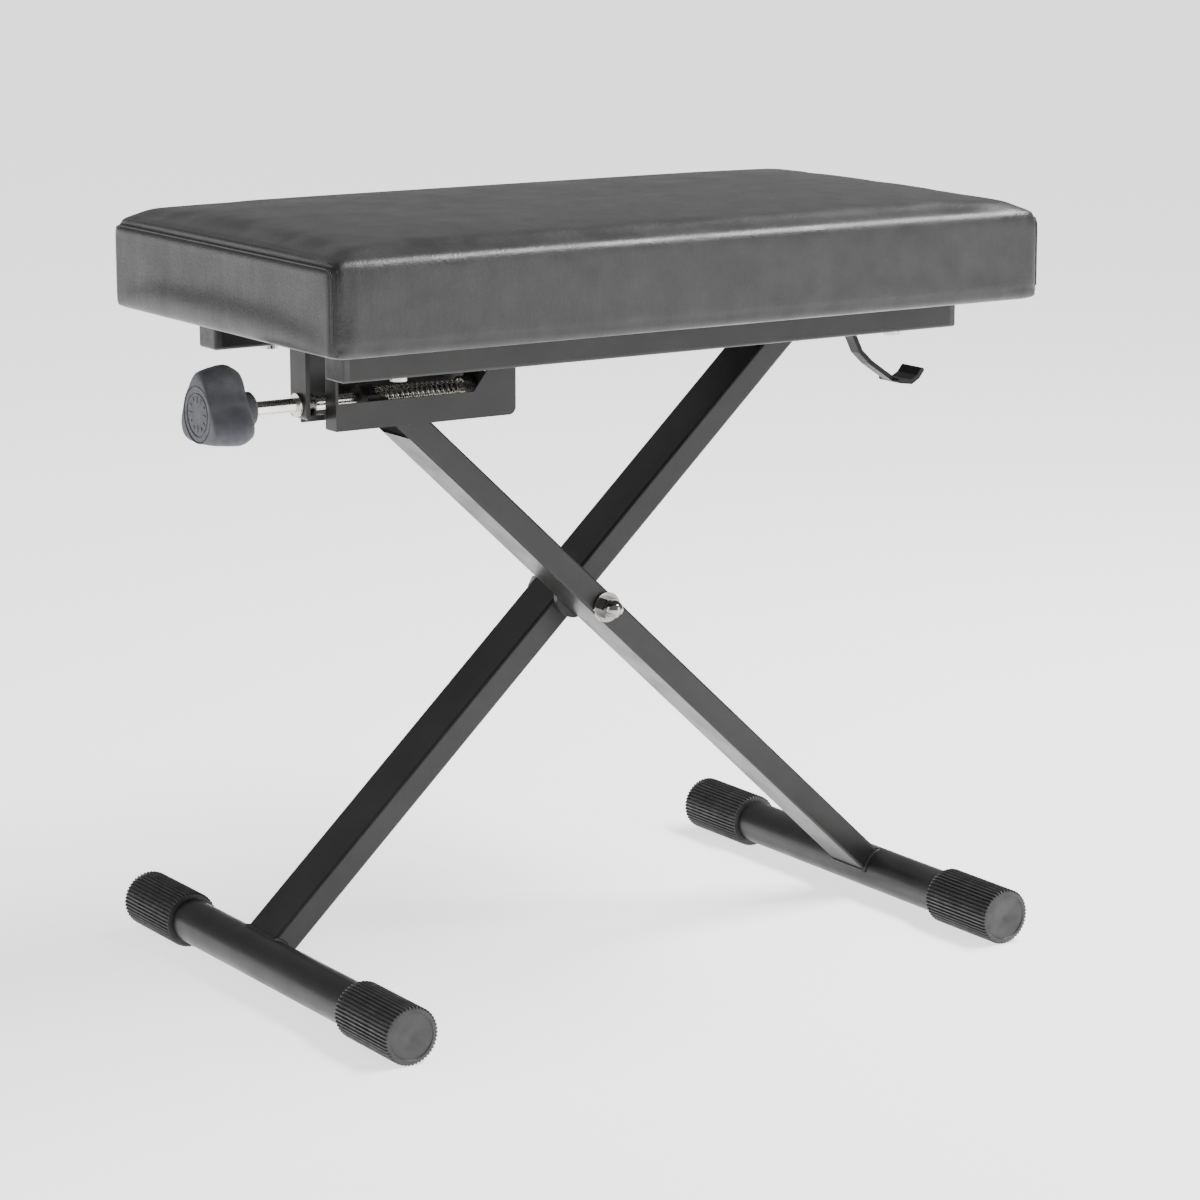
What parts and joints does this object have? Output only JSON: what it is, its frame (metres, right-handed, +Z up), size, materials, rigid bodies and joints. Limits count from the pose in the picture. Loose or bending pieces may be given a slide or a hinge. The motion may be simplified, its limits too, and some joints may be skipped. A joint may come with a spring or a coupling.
{
  "type": "folding keyboard bench",
  "caption": "Padded keyboard bench on crossed folding legs, with a knob-turned spindle under the seat that sets its height and a release lever.",
  "frame": {"origin": "on the floor, under the middle of the bench's box", "axes": "+X along the seat from the knob end, +Y across the seat to the rear leg, +Z up"},
  "size_m": [0.562, 0.356, 0.502],
  "materials": {
    "cover": "satin",
    "board": "matt",
    "foot_rubber": "satin",
    "black_plastic": "satin",
    "grip": "matt",
    "plated_steel": "bright zinc",
    "dark_steel": "blackened",
    "dipped_black": "glossy dipped coat",
    "powder_black": "satin powder coat"
  },
  "bodies": {
    "front_frame": {"front_leg": "powder_black", "right_foot_tube": "powder_black", "right_foot_front_cap": "foot_rubber", "right_foot_rear_cap": "foot_rubber", "pivot_bolt": "plated_steel", "pivot_nut": "plated_steel", "pivot_washer": "plated_steel", "pivot_spacer": "black_plastic", "nut_pin": "plated_steel"},
    "rear_frame": {"rear_leg": "powder_black", "left_foot_tube": "powder_black", "left_foot_front_cap": "foot_rubber", "left_foot_rear_cap": "foot_rubber", "top_axle": "plated_steel", "front_roller": "black_plastic", "rear_roller": "black_plastic"},
    "nut": {"nut_block": "dark_steel"},
    "seat": {"seat_cushion": "cover", "seat_board": "board", "board_screw_1": "plated_steel", "board_screw_2": "plated_steel", "board_screw_3": "plated_steel", "board_screw_4": "plated_steel", "front_rail": "powder_black", "rear_rail": "powder_black", "front_rail_left_cap": "black_plastic", "front_rail_right_cap": "black_plastic", "rear_rail_left_cap": "black_plastic", "rear_rail_right_cap": "black_plastic", "left_cross_bar": "powder_black", "middle_cross_bar": "powder_black", "right_cross_bar": "powder_black", "housing_front": "powder_black", "housing_rear": "powder_black", "spindle_strap": "powder_black", "bearing_plate": "powder_black", "front_axle_track": "powder_black", "rear_axle_track": "powder_black", "front_lever_ear": "powder_black", "rear_lever_ear": "powder_black", "lever_pin": "plated_steel", "lever_spring": "plated_steel", "spindle_spring": "plated_steel"},
    "spindle": {"spindle": "plated_steel", "strap_washer": "plated_steel", "strap_collar": "plated_steel", "spring_collar": "plated_steel", "knob": "grip", "knob_disc": "grip"},
    "lever": {"release_lever": "dipped_black"}
  },
  "joints": [
    {"name": "leg_fold", "type": "hinge", "parent": "front_frame", "child": "rear_frame", "pos_m": [0.004, 0, 0.2333], "axis": [0, 1, 0], "range_deg": [-11.3, 68.9]},
    {"name": "seat_fold", "type": "hinge", "parent": "front_frame", "child": "nut", "pos_m": [-0.14422, 0, 0.372], "axis": [0, 1, 0], "range_deg": [-6.1, 37.2]},
    {"name": "height_adjust", "type": "slide", "parent": "nut", "child": "seat", "axis": [-1, 0, 0], "range_m": [-0.005, 0.03], "deforming": ["spindle_spring"]},
    {"name": "spindle_turn", "type": "hinge", "parent": "seat", "child": "spindle", "pos_m": [-0.15, -0.02125, 0.383], "axis": [1, 0, 0], "range_deg": [-3605, 605]},
    {"name": "latch_lift", "type": "hinge", "parent": "seat", "child": "lever", "pos_m": [0.14, -0.02, 0.412], "axis": [0, 1, 0], "range_deg": [-12, 0], "stiffness_Nm_per_rad": 0.25, "springref_deg": 11.46}
  ],
  "couplings": [
    {"joint": "spindle_turn", "follows": "height_adjust", "rad_per_m": -2094.4},
    {"joint": "seat_fold", "follows": "leg_fold", "ratio": 0.539}
  ]
}
